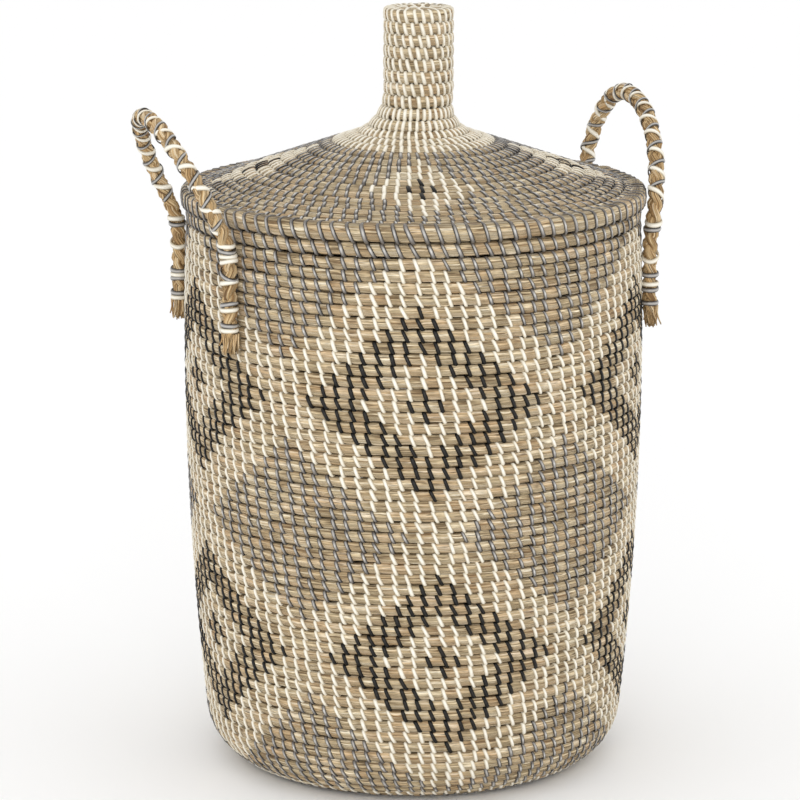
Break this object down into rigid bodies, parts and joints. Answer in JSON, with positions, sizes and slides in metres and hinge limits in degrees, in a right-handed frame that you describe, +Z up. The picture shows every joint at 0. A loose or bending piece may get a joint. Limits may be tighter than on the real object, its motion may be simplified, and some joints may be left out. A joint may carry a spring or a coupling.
{
  "type": "laundry basket",
  "caption": "Tall round lidded laundry basket of stitched coiled seagrass with a diamond pattern, a conical lid with a neck grip, and braided rope handles.",
  "frame": {"origin": "on the floor, at the middle of the flat base, on the basket's axis", "axes": "+Z up along the axis; the two handles stand at -X and +X, each with its legs spread along Y"},
  "size_m": [0.478, 0.409, 0.673],
  "materials": {
    "seagrass": "dry twisted grass coil, satin fibres, tan to olive",
    "braided_grass": "three-strand braid of dry grass, tan",
    "white_strip": "flat woven plastic strip, matte cream white",
    "grey_strip": "flat plastic strip, glossy grey",
    "black_strip": "flat plastic strip, black, slight sheen"
  },
  "bodies": {
    "basket": {"base_coil": "seagrass", "wall_coil": "seagrass", "rim_coil": "seagrass", "handle_leg_left_front": "braided_grass", "lashing_white_left_front": "white_strip", "lashing_grey_left_front": "grey_strip", "handle_leg_left_back": "braided_grass", "lashing_white_left_back": "white_strip", "lashing_grey_left_back": "grey_strip", "handle_leg_right_front": "braided_grass", "lashing_white_right_front": "white_strip", "lashing_grey_right_front": "grey_strip", "handle_leg_right_back": "braided_grass", "lashing_white_right_back": "white_strip", "lashing_grey_right_back": "grey_strip"},
    "lid": {"lid_cone_coil": "seagrass", "lid_neck_coil": "seagrass", "lid_cap_coil": "seagrass", "lid_rim_coil": "seagrass", "lid_locating_ring": "seagrass"},
    "handle_left": {"handle_loop_left": "braided_grass", "wrap_white_left": "white_strip", "wrap_grey_left": "grey_strip"},
    "handle_right": {"handle_loop_right": "braided_grass", "wrap_white_right": "white_strip", "wrap_grey_right": "grey_strip"}
  },
  "joints": [
    {"name": "lid_lift", "type": "slide", "parent": "basket", "child": "lid", "axis": [0, 0, 1], "range_m": [0, 0.2]},
    {"name": "handle_left_swing", "type": "hinge", "parent": "basket", "child": "handle_left", "pos_m": [-0.19451, 0, 0.4885], "axis": [0, -1, 0], "range_deg": [-16, 34], "stiffness_Nm_per_rad": 0.5},
    {"name": "handle_right_swing", "type": "hinge", "parent": "basket", "child": "handle_right", "pos_m": [0.19451, 0, 0.4885], "axis": [0, 1, 0], "range_deg": [0, 45], "stiffness_Nm_per_rad": 0.5}
  ]
}
